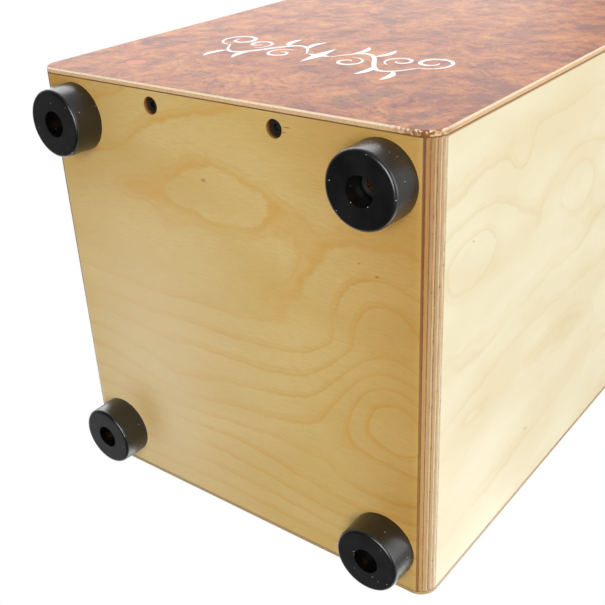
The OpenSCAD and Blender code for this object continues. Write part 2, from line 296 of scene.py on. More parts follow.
def ply_edge(g, depth, length, plies, lines, seed, warm=None):
    """Colour and height of a plywood edge, its depth below the face and its length in millimetres.

    plies holds where each ply starts and its colour.
    lines holds where each glue line lies and how dark it is.
    """
    wave = g.noise(g.combine(g.times(length, 0.05), seed, 0.0), 1.0, 2.0)
    depth = g.add(depth, g.times(g.math("SUBTRACT", wave, 0.5), 0.3))
    pores = g.noise(g.combine(g.times(length, 1.6), g.times(depth, 5.0), seed + 4.0), 1.0, 2.0)
    streak = g.noise(g.combine(g.times(length, 0.07), g.times(depth, 4.0), seed + 3.0), 1.0, 3.0, 0.6)
    whole = plies[-1][0] + 2.0
    colour = g.ramp(g.math("DIVIDE", depth, whole), [(start / whole, tone) for start, tone in plies])
    colour.node.color_ramp.interpolation = "CONSTANT"
    colour = g.mix(g.span(pores, 0.40, 0.68, 0.0, 0.6), colour, srgb(214, 196, 172), "MULTIPLY")
    colour = g.mix(g.span(streak, 0.42, 0.66, 0.0, 0.5), colour, srgb(222, 196, 160), "MULTIPLY")

    groove = 0.0
    for place, strength in lines:
        wander = g.noise(g.combine(g.times(length, 0.22), place * 3.1, seed), 1.0, 3.0, 0.7)
        away = g.math("ABSOLUTE", g.math("SUBTRACT", depth, place))
        line = g.times(g.span(away, GLUE_LINE_MM * 0.6, GLUE_LINE_MM * 1.5, 1.0, 0.0), strength)
        line = g.times(line, g.span(wander, 0.30, 0.55, 0.45, 1.0))
        fissure = g.times(g.span(wander, 0.60, 0.66), g.span(away, 0.12, 0.34, 1.0, 0.0))
        colour = g.mix(g.math("MAXIMUM", line, g.times(fissure, 0.8)), colour, srgb(88, 50, 16))
        groove = g.add(groove, line, fissure)
    # warm, when given, darkens the plies towards amber; the side panels pass painted shade in it
    if warm is not None:
        colour = g.mix(warm, colour, srgb(188, 140, 44), "MULTIPLY")
    return colour, g.math("SUBTRACT", g.times(pores, 0.5), groove)


def glue_band(g, colour, y_plane, half_mm, tint):
    """Darkens a band along a joint across the depth of the box."""
    away = g.math("ABSOLUTE", g.math("SUBTRACT", g.y, y_plane))
    return g.mix(g.span(away, half_mm * 0.6, half_mm, 0.9, 0.0), colour, tint)


BOTTOM_HILLS = [
    # across (Y), along (X), radius across, radius along, rings
    (-88.0, 6.0, 19.0, 41.0, 1.05),
    (-82.0, -78.0, 9.0, 34.0, 0.22),
    (22.0, 127.0, 36.0, 44.0, 4.4),
    (-36.0, 121.0, 34.0, 40.0, 2.6),
    (72.0, 120.0, 18.0, 34.0, -1.15),
    (58.0, -50.0, 26.0, 50.0, -0.9),
    (-26.0, 44.0, 20.0, 30.0, 0.32),
    (100.0, 90.0, 30.0, 60.0, -0.7),
    (-114.0, -112.0, 16.0, 50.0, -0.85),
]
SIDE_HILLS = [
    # across (Y), along (Z), radius across, radius along, rings
    (-70.0, 62.0, 24.0, 48.0, 1.75),
    (-68.0, 206.0, 20.0, 34.0, 1.9),
    (-112.0, 160.0, 12.0, 60.0, 0.6),
    (-112.0, 120.0, 12.0, 16.0, -0.9),
    (35.0, 175.0, 30.0, 110.0, 1.2),
    (40.0, 60.0, 10.0, 40.0, 0.9),
    (-30.0, 380.0, 40.0, 70.0, 1.6),
]


def bottom_rings(g):
    """A plain area in front of an even run of rings, with an almond-shaped eye and a knot's whorl."""
    even = g.times(ramp_up(g, g.add(g.y, 16.0), 5.0), 0.062)
    slanted = g.add(g.y, g.times(g.x, 0.30))
    front = g.times(ramp_up(g, g.math("SUBTRACT", -130.0, slanted), 8.0), -0.045)
    field = g.add(even, front, -2.5)
    for each in BOTTOM_HILLS:
        field = g.add(field, hill(g, g.y, g.x, each))
    return field


def bottom_panel_material():
    g = Graph("birch_bottom")
    colour, height = birch_face(
        g, g.y, g.x, bottom_rings(g), AMBER, seed=3.0,
        flecks=[(-65.0, 114.6, 0.7), (-97.4, -9.6, 1.0), (-70.3, 103.0, 0.5)],
    )
    # painted light, paler towards the left and the back, and painted shade, deeper amber along the right,
    # at the front left corner and beside the two back feet
    pale = g.add(
        hill(g, g.x, g.y, (-75.0, 20.0, 75.0, 90.0, 0.8)),
        hill(g, g.x, g.y, (-90.0, 110.0, 70.0, 60.0, 0.6)),
    )
    colour = g.mix(g.times(pale, 0.50), colour, srgb(246, 230, 192))
    # painted shade along the right, at the front left corner and beside the back feet, multiplied in below
    painted_shade = g.add(
        g.span(g.add(g.x, g.times(g.y, -0.25)), 55.0, 175.0, 0.0, 0.8),
        hill(g, g.x, g.y, (-140.0, -140.0, 60.0, 60.0, 0.9)),
        hill(g, g.x, g.y, (128.0, 96.0, 28.0, 36.0, 0.45)),
        hill(g, g.x, g.y, (-90.0, 100.0, 17.0, 24.0, 0.6)),
    )
    colour = g.mix(painted_shade, colour, srgb(226, 204, 160), "MULTIPLY")
    # joints against the tapa, the back panel and the side panels
    colour = glue_band(g, colour, GLUE_Y, 0.45, srgb(96, 54, 22))
    colour = glue_band(g, colour, RIM_Y, 0.4, srgb(120, 80, 44))
    to_side = g.math("SUBTRACT", SIDE_X - WALL, g.math("ABSOLUTE", g.x))
    colour = g.mix(g.span(to_side, 0.2, 0.55, 0.85, 0.0), colour, srgb(120, 68, 20))
    # walls of the key holes, darker further into each hole: painted shade
    for hole in KEY_HOLES:
        a = g.math("SUBTRACT", g.x, hole.x)
        b = g.math("SUBTRACT", g.y, hole.y)
        radius = g.math("SQRT", g.add(g.times(a, a), g.times(b, b)))
        wall = g.mix(g.span(g.z, BOTTOM_Z + 0.5, BOTTOM_Z + 3.0), srgb(198, 148, 88), srgb(104, 62, 26))
        colour = g.mix(g.span(radius, 5.55, 5.9, 0.95, 0.0), colour, wall)
    # cracks that run from the right key hole where the drill tore the face
    torn = KEY_HOLES[1]
    waver = g.noise(g.mm, 0.8, 2.0)
    for dy, start, end in ((-2.0, 4.6, 12.5), (1.1, 5.0, 9.5)):
        past = g.math("SUBTRACT", g.x, torn.x)
        reach = g.times(g.span(past, start, start + 0.4), g.span(past, end - 3.0, end, 1.0, 0.0))
        off = g.add(g.y, g.times(g.math("SUBTRACT", waver, 0.5), 0.9), -torn.y - dy)
        crack = g.times(g.span(g.math("ABSOLUTE", off), 0.12, 0.34, 1.0, 0.0), reach)
        colour = g.mix(g.times(crack, 0.85), colour, srgb(104, 72, 36))
    return g.finish(colour, 0.46, g.bump(height, 0.25, 0.05), specular=0.4)


SIDE_PLIES = [
    (0.0, srgb(238, 226, 192)),
    (0.10, srgb(236, 216, 180)),
    (0.32, srgb(204, 180, 138)),
    (0.90, srgb(232, 208, 164)),
    (1.30, srgb(192, 166, 124)),
    (2.35, srgb(220, 190, 140)),
    (3.35, srgb(202, 172, 130)),
    (4.85, srgb(208, 168, 108)),
    (7.0, srgb(172, 128, 74)),
]
SIDE_LINES = [(0.08, 0.35), (0.90, 0.40), (2.35, 0.80), (3.35, 0.45), (4.85, 0.90), (7.0, 1.0)]
BACK_PLIES = [(0.0, srgb(236, 216, 178)), (0.9, srgb(198, 168, 124)), (2.1, srgb(228, 202, 156))]
BACK_LINES = [(0.9, 0.6), (2.1, 0.8)]


def side_rings(g):
    field = g.times(g.add(g.y, g.times(g.math("SUBTRACT", g.z, 140.0), 0.10)), 0.018)
    for each in SIDE_HILLS:
        field = g.add(field, hill(g, g.y, g.z, each))
    return field


def side_panel_material(name, seed):
    g = Graph(name)
    depth = g.math("SUBTRACT", SIDE_X, g.math("ABSOLUTE", g.x))
    # the sanded rims next to the tapa and the back show a little more of the second ply
    to_rim = g.math("MINIMUM", g.math("SUBTRACT", g.y, GLUE_Y), g.math("SUBTRACT", RIM_Y, g.y))
    eased = g.add(depth, g.span(to_rim, 0.0, 1.4, 0.55, 0.0))
    face, face_height = birch_face(
        g, g.y, g.z, side_rings(g), CREAM, seed=seed, contrast=0.32,
        flecks=[(-78.4, 62.3, 0.5), (98.0, 152.0, 0.9)],
    )
    # painted shade: the plies darken to amber further round the edge towards the underside and more in the
    # last ply by the bottom panel, strongest at the front and fading towards the back
    warm = g.add(g.span(depth, 0.2, 5.0, 0.2, 0.55), g.span(depth, 6.7, 7.1, 0.0, 0.45))
    warm = g.times(warm, g.span(g.y, -150.0, 60.0, 1.0, 0.15))
    edge, edge_height = ply_edge(g, eased, g.y, SIDE_PLIES, SIDE_LINES, seed + 11.0, warm)
    is_edge = g.times(g.span(eased, 0.03, 0.10), g.span(depth, WALL - 0.02, WALL - 0.005, 1.0, 0.0))
    colour = g.mix(is_edge, face, edge)
    height = g.add(g.times(g.math("SUBTRACT", 1.0, is_edge), face_height), g.times(is_edge, edge_height))
    colour = glue_band(g, colour, GLUE_Y, 0.35, srgb(110, 66, 34))
    colour = glue_band(g, colour, RIM_Y, 0.3, srgb(130, 92, 58))
    return g.finish(colour, 0.42, g.bump(height, 0.3, 0.06))


def seat_panel_material():
    g = Graph("birch_seat")
    field = g.add(g.times(g.y, 0.028), hill(g, g.y, g.x, (-30.0, 30.0, 34.0, 70.0, 2.6)))
    field = g.add(field, hill(g, g.y, g.x, (84.0, -80.0, 26.0, 56.0, -1.8)))
    colour, height = birch_face(g, g.y, g.x, field, HONEY, seed=21.0, contrast=0.8)
    colour = glue_band(g, colour, GLUE_Y, 0.4, srgb(110, 66, 34))
    colour = glue_band(g, colour, RIM_Y, 0.35, srgb(130, 92, 58))
    to_side = g.math("SUBTRACT", SIDE_X - WALL, g.math("ABSOLUTE", g.x))
    colour = g.mix(g.span(to_side, 0.2, 0.5, 0.8, 0.0), colour, srgb(130, 82, 36))
    return g.finish(colour, 0.42, g.bump(height, 0.3, 0.05))


def back_panel_material():
    g = Graph("birch_back")
    field = g.add(g.times(g.x, 0.024), hill(g, g.x, g.z, (-50.0, 150.0, 26.0, 90.0, 2.4)))
    field = g.add(field, hill(g, g.x, g.z, (76.0, 330.0, 30.0, 110.0, -2.0)))
    face, face_height = birch_face(g, g.x, g.z, field, HONEY, seed=33.0, contrast=0.8)
    depth = g.math("SUBTRACT", BACK_Y, g.y)
    edge, edge_height = ply_edge(g, depth, g.add(g.x, g.z), BACK_PLIES, BACK_LINES, 41.0)
    is_edge = g.times(g.span(depth, 0.05, 0.2), g.span(depth, 2.85, 2.95, 1.0, 0.0))
    colour = g.mix(is_edge, face, edge)
    height = g.add(g.times(g.math("SUBTRACT", 1.0, is_edge), face_height), g.times(is_edge, edge_height))
    colour = glue_band(g, colour, RIM_Y, 0.4, srgb(104, 66, 36))
    return g.finish(colour, 0.44, g.bump(height, 0.3, 0.05))


# ---------------------------------------------------------------- burl tapa

def swirled(g, place, reach_mm, size_mm, detail=2.0):
    """place moved by up to about reach_mm by noise whose features are size_mm across."""
    push = g.noise(place, 1.0 / size_mm, detail, 0.55, colour=True)
    push = g.vector("SUBTRACT", push, (0.5, 0.5, 0.5))
    return g.vector("ADD", place, g.vector("SCALE", push, scale=2.0 * reach_mm))


def burl_colour(g):
    """Reddish-brown burl: clouds, curling fibres, orange flames and clusters of small dark eyes."""
    # the figure runs down to the right on a slant
    across = g.add(g.times(g.x, 0.84), g.times(g.z, -0.54))
    along = g.add(g.times(g.x, 0.54), g.times(g.z, 0.84))
    turned = g.combine(across, 0.0, along)
    warped = swirled(g, turned, 16.0, 48.0)
    curled = swirled(g, warped, 6.0, 13.0, 3.0)
    streaked = g.vector("MULTIPLY", warped, (0.42, 1.0, 1.0))

    cloud = g.noise(warped, 0.028, 4.0, 0.60)
    blotch = g.noise(curled, 0.075, 4.0, 0.62)
    flame = g.noise(g.vector("MULTIPLY", curled, (0.45, 1.0, 1.0)), 0.20, 4.0, 0.62)
    fibre = g.noise(g.vector("MULTIPLY", streaked, (0.6, 1.0, 1.0)), 1.1, 3.0, 0.6)
    mottle = g.noise(curled, 0.62, 3.0, 0.6)
    tone = g.add(
        g.times(cloud, 0.62), g.times(blotch, 0.60), g.times(flame, 0.34), g.times(fibre, 0.14),
        g.times(mottle, 0.22), -0.46,
    )
    colour = g.ramp(tone, [
        (0.26, srgb(104, 50, 38)),
        (0.38, srgb(146, 76, 52)),
        (0.48, srgb(172, 99, 58)),
        (0.56, srgb(189, 115, 64)),
        (0.68, srgb(205, 134, 74)),
        (0.82, srgb(218, 154, 90)),
    ])
    # cool grey-violet veils with clusters of small dark eyes in them
    veil = g.noise(g.vector("ADD", warped, (91.0, 0.0, 37.0)), 0.042, 4.0, 0.62)
    veil = g.add(
        veil,
        hill(g, g.x, g.z, (118.0, 70.0, 60.0, 70.0, 0.09)),
        hill(g, g.x, g.z, (130.0, 300.0, 50.0, 80.0, 0.05)),
    )
    veiled = g.span(veil, 0.54, 0.68)
    colour = g.mix(g.times(veiled, 0.60), colour, srgb(112, 68, 62))
    swirl = g.noise(curled, 0.11, 2.0, 0.5)
    thread = g.math("PINGPONG", g.times(swirl, 9.0), 0.5)
    colour = g.mix(g.span(thread, 0.14, 0.02, 0.0, 0.30), colour, srgb(128, 70, 48))
    eye = g.voronoi(curled, 0.17)
    eyes = g.times(g.span(eye, 0.30, 0.12), g.span(veil, 0.46, 0.60, 0.25, 1.0), 0.55)
    colour = g.mix(eyes, colour, srgb(84, 46, 42))
    # a golden patch and a pinkish knot near the lower left
    golden = hill(g, g.x, g.z, (2.0, 50.0, 40.0, 18.0, 1.0))
    colour = g.mix(g.times(golden, g.span(flame, 0.35, 0.6), 0.5), colour, srgb(214, 146, 78))
    knot = hill(g, g.x, g.z, (-98.0, 58.0, 7.5, 6.5, 1.0))
    colour = g.mix(g.span(knot, 0.35, 0.45, 0.0, 0.7), colour, srgb(214, 122, 84))
    knot_ring = g.times(g.span(knot, 0.30, 0.37), g.span(knot, 0.37, 0.46, 1.0, 0.0), 0.5)
    colour = g.mix(knot_ring, colour, srgb(150, 82, 60))
    return colour, g.add(mottle, g.times(fibre, 0.6))


def tapa_material():
    g = Graph("burl_tapa")
    burl, burl_height = burl_colour(g)
    depth = g.math("SUBTRACT", g.y, TAPA_FRONT_Y)
    thickness = GLUE_Y - TAPA_FRONT_Y
    fibre = g.noise(g.combine(g.times(g.add(g.x, g.z), 0.9), g.times(depth, 3.0), 1.0), 1.0, 4.0, 0.7)
    # the bevel is bare pale wood, made paler than the edge beside it partly as a painted highlight
    bevel = g.mix(g.span(fibre, 0.35, 0.7), srgb(255, 240, 214), srgb(236, 208, 168))
    edge = g.mix(g.span(fibre, 0.35, 0.65), srgb(236, 204, 162), srgb(204, 158, 112))
    rim = g.mix(g.span(depth, 0.95, 1.15), bevel, edge)
    worn = g.noise(g.mm, 0.40, 3.0, 0.6)
    smudge = hill(g, g.x, g.z, (142.0, 22.0, 14.0, 12.0, 1.0))
    rubbed = g.times(g.span(worn, 0.45, 0.62), g.span(smudge, 0.1, 0.5, 0.15, 0.5))
    rim = g.mix(rubbed, rim, srgb(196, 142, 92))
    rim = g.mix(g.times(smudge, g.span(worn, 0.40, 0.55)), rim, srgb(140, 84, 46))
    rim = g.mix(g.span(depth, thickness - 0.55, thickness - 0.30, 0.0, 0.9), rim, srgb(92, 52, 24))
    inside, _ = birch_face(g, g.x, g.z, g.times(g.x, 0.03), HONEY, seed=55.0, contrast=0.7)
    colour = g.mix(g.span(depth, 0.03, 0.09), burl, rim)
    colour = g.mix(g.span(depth, thickness - 0.05, thickness - 0.01), colour, inside)
    front = g.span(depth, 0.03, 0.09, 1.0, 0.0)
    roughness = g.add(0.40, g.times(g.math("SUBTRACT", 1.0, front), 0.2))
    return g.finish(colour, roughness, g.bump(g.times(burl_height, front), 0.10, 0.02), specular=0.068)


# ---------------------------------------------------------------- other materials

def softwood_material():
    g = Graph("spruce_batten")
    # grain along the depth, as on the side battens
    rings = g.noise(g.combine(g.times(g.x, 0.30), g.times(g.y, 0.02), g.times(g.z, 0.30)), 1.0, 3.0, 0.6)
    fibre = g.noise(g.combine(g.times(g.x, 1.5), g.times(g.y, 0.12), g.times(g.z, 1.5)), 1.0, 3.0, 0.6)
    colour = g.mix(g.span(rings, 0.35, 0.65), srgb(234, 206, 160), srgb(204, 160, 104))
    colour = g.mix(g.span(fibre, 0.4, 0.75, 0.0, 0.3), colour, srgb(160, 112, 66))
    return g.finish(colour, 0.62, g.bump(fibre, 0.4, 0.1))


def rubber_material():
    g = Graph("black_rubber")
    grain = g.noise(g.mm, 2.6, 3.0, 0.6)
    smear = g.noise(g.mm, 0.07, 3.0, 0.6)
    colour = g.mix(g.span(smear, 0.35, 0.7), srgb(4, 5, 4), srgb(8, 9, 9))
    # dust specks
    cells = g.voronoi(g.mm, 0.30)
    chance = g.voronoi(g.mm, 0.30, "Color")
    pick = g.new("ShaderNodeSeparateColor")
    g.link(chance, pick.inputs[0])
    speck = g.times(g.span(cells, 0.11, 0.06, 0.0, 1.0), g.math("GREATER_THAN", pick.outputs[0], 0.62))
    colour = g.mix(g.times(speck, 0.9), colour, srgb(216, 214, 206))
    # a ragged moulding line where the rounded edge of the free end starts
    ragged = g.noise(g.mm, 0.9, 2.0)
    ring = g.math("ABSOLUTE", g.math("SUBTRACT", g.z, g.span(ragged, 0.3, 0.7, 2.1, 2.4)))
    line = g.times(g.span(ring, 0.12, 0.34, 1.0, 0.0), g.span(ragged, 0.36, 0.46, 0.35, 1.0))
    colour = g.mix(line, colour, srgb(2, 2, 2))
    height = g.add(g.times(grain, 0.35), g.times(line, -1.2), g.times(smear, 0.3))
    return g.finish(colour, g.span(smear, 0.3, 0.7, 0.28, 0.35), g.bump(height, 0.2, 0.02), specular=0.85)


def metal_material(name, base, tint, roughness):
    """Plated or oxidised steel and brass: mottled plating with fine scratches."""
    g = Graph(name)
    patch = g.noise(g.mm, 0.5, 4.0, 0.6)
    scratch = g.noise(g.vector("MULTIPLY", g.mm, (3.0, 3.0, 0.9)), 1.0, 3.0, 0.6)
    colour = g.mix(g.span(patch, 0.35, 0.7), base, tint)
    rough = g.add(roughness - 0.06, g.times(scratch, 0.16))
    return g.finish(colour, rough, g.bump(scratch, 0.15, 0.03), metallic=1.0)


def black_oxide_material():
    g = Graph("black_oxide_steel")
    patch = g.noise(g.mm, 0.8, 4.0, 0.6)
    colour = g.mix(g.span(patch, 0.35, 0.7), srgb(11, 11, 12), srgb(25, 24, 24))
    return g.finish(colour, g.span(patch, 0.3, 0.7, 0.30, 0.46), g.bump(patch, 0.2, 0.05), specular=0.7)


def wound_string_material():
    g = Graph("wound_string")
    turn = g.math("SINE", g.times(g.z, 2.0 * math.pi / WIRE_PITCH_MM))
    patch = g.noise(g.mm, 0.12, 3.0)
    colour = g.mix(g.span(patch, 0.3, 0.7), srgb(196, 196, 194), srgb(150, 148, 144))
    # painted shade in the grooves between the turns of the winding
    colour = g.mix(g.span(turn, -1.0, -0.4, 0.55, 0.0), colour, srgb(60, 58, 56))
    return g.finish(colour, 0.32, g.bump(turn, 0.6, 0.06), metallic=1.0)


def ornament_material():
    g = Graph("white_ink")
    grain = g.noise(g.mm, 1.6, 3.0, 0.6)
    colour = g.mix(g.span(grain, 0.35, 0.75, 0.0, 0.5), srgb(246, 246, 250), srgb(222, 220, 226))
    return g.finish(colour, 0.45, g.bump(grain, 0.1, 0.03))


def splinter_material():
    g = Graph("torn_fibres")
    fibre = g.noise(g.combine(g.times(g.x, 0.4), g.times(g.y, 6.0), g.z), 1.0, 3.0)
    colour = g.mix(g.span(fibre, 0.35, 0.65), srgb(236, 206, 160), srgb(150, 96, 52))
    return g.finish(colour, 0.7, g.bump(fibre, 0.3, 0.05))


def coat_with(material, names):
    for name in names:
        for slot in nodes[name].material_slots:
            slot.material = material


zinc = metal_material("zinc_plate", srgb(206, 208, 212), srgb(168, 170, 174), 0.30)
yellow_zinc = metal_material("yellow_zinc", srgb(172, 112, 62), srgb(120, 68, 42), 0.34)
brass = metal_material("brass", srgb(214, 178, 96), srgb(182, 142, 70), 0.30)
coat_with(bottom_panel_material(), ["bottom_panel"])
coat_with(side_panel_material("birch_right_side", 13.0), ["right_side_panel"])
coat_with(side_panel_material("birch_left_side", 17.0), ["left_side_panel"])
coat_with(seat_panel_material(), ["seat_panel"])
coat_with(back_panel_material(), ["back_panel"])
coat_with(tapa_material(), ["tapa"])
coat_with(softwood_material(), [n for n in nodes if n.endswith("_batten") or n.endswith("_cleat")])
coat_with(rubber_material(), [n for n in nodes if n.endswith("_foot")])
coat_with(zinc, [
    "tapa_screws", "tuner_washers", "left_guide_bracket", "right_guide_bracket",
    "left_anchor_plate", "right_anchor_plate",
])
coat_with(yellow_zinc, ["foot_screws", "guide_bracket_screws", "anchor_plate_screws"])
# the foot washers are blackened too, so the floor of each foot recess stays dark: painted shade
coat_with(black_oxide_material(), ["foot_washers", "left_tuning_screw", "right_tuning_screw"])
coat_with(brass, [
    "left_string_carrier", "right_string_carrier", "left_lower_string_ends", "right_lower_string_ends",
    "upper_string_ends",
])


# ---------------------------------------------------------------- mesh helpers

def new_piece(name, bm, material, smooth=True):
    """A mesh object in the row frame from a bmesh in millimetres."""
    bmesh.ops.recalc_face_normals(bm, faces=bm.faces)
    bmesh.ops.scale(bm, vec=(MM, MM, MM), verts=bm.verts)
    mesh = bpy.data.meshes.new(name)
    bm.to_mesh(mesh)
    bm.free()
    mesh.materials.append(material)
    mesh.polygons.foreach_set("use_smooth", [smooth] * len(mesh.polygons))
    piece = bpy.data.objects.new(name, mesh)
    bpy.context.scene.collection.objects.link(piece)
    return piece


def tube(bm, points, radius, sides=10):
    """A closed tube along points, in millimetres."""
    points = [Vector(p) for p in points]
    rings = []
    side = None
    for i, point in enumerate(points):
        ahead = points[min(i + 1, len(points) - 1)] - points[max(i - 1, 0)]
        ahead.normalize()
        if side is None:
            side = ahead.orthogonal().normalized()
        side = (side - ahead * side.dot(ahead)).normalized()
        up = ahead.cross(side)
        rings.append([
            bm.verts.new(point + radius * (math.cos(a) * side + math.sin(a) * up))
            for a in (2 * math.pi * k / sides for k in range(sides))
        ])
    for a, b in zip(rings, rings[1:]):
        for k in range(sides):
            bm.faces.new((a[k], a[(k + 1) % sides], b[(k + 1) % sides], b[k]))
    bm.faces.new(rings[0])
    bm.faces.new(rings[-1])


# ---------------------------------------------------------------- ornament on the tapa

INK_MM = 0.14
# How much thicker a stroke gets for each 10 corners drawn before it
STROKE_STEP_MM = 0.0002
STROKE_VERTS = 10
ORNAMENT_Z = 127.0
LEAF_MM = 20.0
LEAVES = [
    # place across and up, angle, bend
    (18, 13, 1.0, 0.6),
    (35, 13, 0.8, 0.6),
    (49, -10, -1.1, -0.5),
    (66, -15, -0.8, -0.6),
]


def ribbon(bm, path, width):
    """A thin raised stroke on the tapa's front along path, a list of (x, z), with width(t) across it.

    Each stroke is a little thicker than the one before, so that no two of their faces share a plane.
    """
    front_y = TAPA_FRONT_Y - INK_MM - STROKE_STEP_MM * len(bm.verts) / STROKE_VERTS
    sections = []
    count = len(path)
    for i, (x, z) in enumerate(path):
        x0, z0 = path[max(i - 1, 0)]
        x1, z1 = path[min(i + 1, count - 1)]
        length = math.hypot(x1 - x0, z1 - z0) or 1.0
        half = width(i / (count - 1)) / 2
        nx, nz = -(z1 - z0) / length * half, (x1 - x0) / length * half
        sections.append([
            bm.verts.new((x + nx, front_y, z + nz)),
            bm.verts.new((x - nx, front_y, z - nz)),
            bm.verts.new((x - nx, TAPA_FRONT_Y, z - nz)),
            bm.verts.new((x + nx, TAPA_FRONT_Y, z + nz)),
        ])
    for a, b in zip(sections, sections[1:]):
        for k in range(4):
            bm.faces.new((a[k], a[(k + 1) % 4], b[(k + 1) % 4], b[k]))
    bm.faces.new(sections[0])
    bm.faces.new(sections[-1])


def tapered(widest, ends=0.25):
    return lambda t: widest * (ends + (1 - ends) * math.sin(math.pi * min(max(t, 0.0), 1.0)) ** 0.7)


def wave_path(x0, x1, z0, swing, turns, steps=60):
    """A sine wave that grows from x0 to x1 about the height z0."""
    return [
        (x0 + (x1 - x0) * t, z0 + swing * math.sin(2 * math.pi * turns * t))
        for t in (i / steps for i in range(steps + 1))
    ]


def curl_path(x, z, radius, start, turns, shrink=0.25, steps=60):
    """A spiral curl about (x, z) that starts at the angle start."""
    return [
        (x + radius * (1 - (1 - shrink) * t) * math.cos(start + 2 * math.pi * turns * t),
         z + radius * (1 - (1 - shrink) * t) * math.sin(start + 2 * math.pi * turns * t))
        for t in (i / steps for i in range(steps + 1))
    ]


def leaf_path(x, z, angle, length, bend, steps=24):
    """A short curved leaf that leaves (x, z) at the given angle."""
    points = []
    for i in range(steps + 1):
        t = i / steps
        turn = angle + bend * t
        points.append((x + length * t * math.cos(turn), z + length * t * math.sin(turn)))
    return points


def make_ornament():
    """A symmetric vine of waves, curls and leaves about a lozenge."""
    bm = bmesh.new()
    for side in (-1, 1):
        def mirrored(path):
            return [(side * x, ORNAMENT_Z + z) for x, z in path]
        ribbon(bm, mirrored(wave_path(10.0, 76.0, 0.0, 17.0, 1.0)), tapered(3.0))
        ribbon(bm, mirrored(curl_path(77.0, 14.0, 15.0, -math.pi / 2, 1.3)), tapered(2.8))
        ribbon(bm, mirrored(curl_path(27.0, -6.0, 11.0, math.pi * 0.6, -1.15)), tapered(2.2))
        ribbon(bm, mirrored(curl_path(57.0, 9.0, 11.0, -math.pi * 0.6, -1.15)), tapered(2.2))
        for x, z, angle, bend in LEAVES:
            ribbon(bm, mirrored(leaf_path(x, z, angle, LEAF_MM, bend)), tapered(4.4, 0.05))
        ribbon(bm, mirrored([(3.6, 0.0), (9.0, 0.0)]), lambda t: 3.6 * (1 - t) + 0.3)
    ribbon(bm, [(0.0, ORNAMENT_Z - 20.0), (0.0, ORNAMENT_Z), (0.0, ORNAMENT_Z + 20.0)],
           lambda t: 8.0 * (1 - abs(2 * t - 1)) + 0.1)
    piece = new_piece("tapa_ornament", bm, ornament_material(), smooth=False)
    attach(piece, "cabinet")


make_ornament()


# ---------------------------------------------------------------- torn fibres at the right key hole

def make_splinters():
    """Slivers that the drill lifted beside the right key hole."""
    hole = KEY_HOLES[1]
    bm = bmesh.new()
    slivers = [
        # offset from the hole's axis, length, width, rise
        (5.3, -1.9, 5.6, 0.38, 0.16),
        (5.2, -0.7, 2.6, 0.30, 0.22),
        (5.0, 0.9, 3.4, 0.36, 0.18),
        (4.9, 1.7, 1.6, 0.26, 0.24),
    ]
    for dx, dy, length, width, rise in slivers:
        x, y, z = hole.x + dx, hole.y + dy, BOTTOM_Z
        root = [bm.verts.new((x, y - width / 2, z + 0.02)), bm.verts.new((x, y + width / 2, z + 0.02)),
                bm.verts.new((x + 0.1 * length, y, z - rise))]
        tip = bm.verts.new((x + length, y - 0.08 * length, z + 0.01))
        bm.faces.new(root)
        for k in range(3):
            bm.faces.new((root[k], root[(k + 1) % 3], tip))
    piece = new_piece("key_hole_splinters", bm, splinter_material(), smooth=False)
    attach(piece, "cabinet")


make_splinters()


# ---------------------------------------------------------------- snare strings

WOUND_R = 0.48
CORE_R = 0.24
TWIST_MM = 11.0
TAIL_R = 0.5
TAIL_TURNS = 5
TAIL_START_MM = 1.5
HALF_STRING = 0.5
WIRE_PITCH_MM = 0.32


def make_strings(side):
    """A pair of wound strings with looped and twisted ends, from the carrier's spools to the anchor's."""
    low, high = box_mm(f"{side}_snare_strings")
    lower_low, lower_high = box_mm(f"{side}_lower_string_ends")
    lower_z = (lower_low.z + lower_high.z) / 2
    upper_low, upper_high = box_mm("upper_string_ends")
    upper_z = (upper_low.z + upper_high.z) / 2
    spool_y = (lower_low.y + lower_high.y) / 2
    string_y = low.y + HALF_STRING
    loop_r = spool_y - string_y
    bm = bmesh.new()
    for x in (low.x + HALF_STRING, high.x - HALF_STRING):
        wound = [
            (x, string_y, lower_z + TWIST_MM + (upper_z - lower_z - 2 * TWIST_MM) * i / 60)
            for i in range(61)
        ]
        tube(bm, wound, WOUND_R, 12)
        for z, way in ((lower_z, 1), (upper_z, -1)):
            loop = [
                (x, spool_y - loop_r * math.cos(a), z - way * loop_r * math.sin(a))
                for a in (math.pi * i / 16 for i in range(17))
            ]
            tail = [
                (x + TAIL_R * math.sin(2 * math.pi * TAIL_TURNS * t),
                 string_y + TAIL_R * math.cos(2 * math.pi * TAIL_TURNS * t),
                 z + way * (TAIL_START_MM + (TWIST_MM - TAIL_START_MM) * t))
                for t in (i / 60 for i in range(61))
            ]
            core = [(x, string_y, z + way * TWIST_MM * i / 8) for i in range(9)]
            tube(bm, core, CORE_R, 8)
            tube(bm, loop, CORE_R, 8)
            tube(bm, tail, CORE_R, 8)
    piece = new_piece(f"{side}_wound_strings", bm, wound_string_material())
    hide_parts(f"{side}_snare_strings")
    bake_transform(piece)


for each_side in ("left", "right"):
    make_strings(each_side)


# ---------------------------------------------------------------- stage, lights and camera

CAMERA_AT = Vector((0.36705, -0.28823, -0.36162))
CAMERA_RIGHT = Vector((0.79443, 0.04412, 0.60575))
CAMERA_UP = Vector((-0.24840, -0.88652, 0.39035))
CAMERA_LENS = 55.57
SENSOR_MM = 36.0
FLOOR_R = 2.4
FLOOR_GAP = 0.0003
# Brightness of the studio from straight below to straight above
SKY_LEVELS = [
    (0.0, 0.01), (0.19, 0.03), (0.30, 0.34), (0.5, 0.78),
    (0.74, 0.75), (0.82, 0.45), (0.94, 0.45), (1.0, 0.8),
]


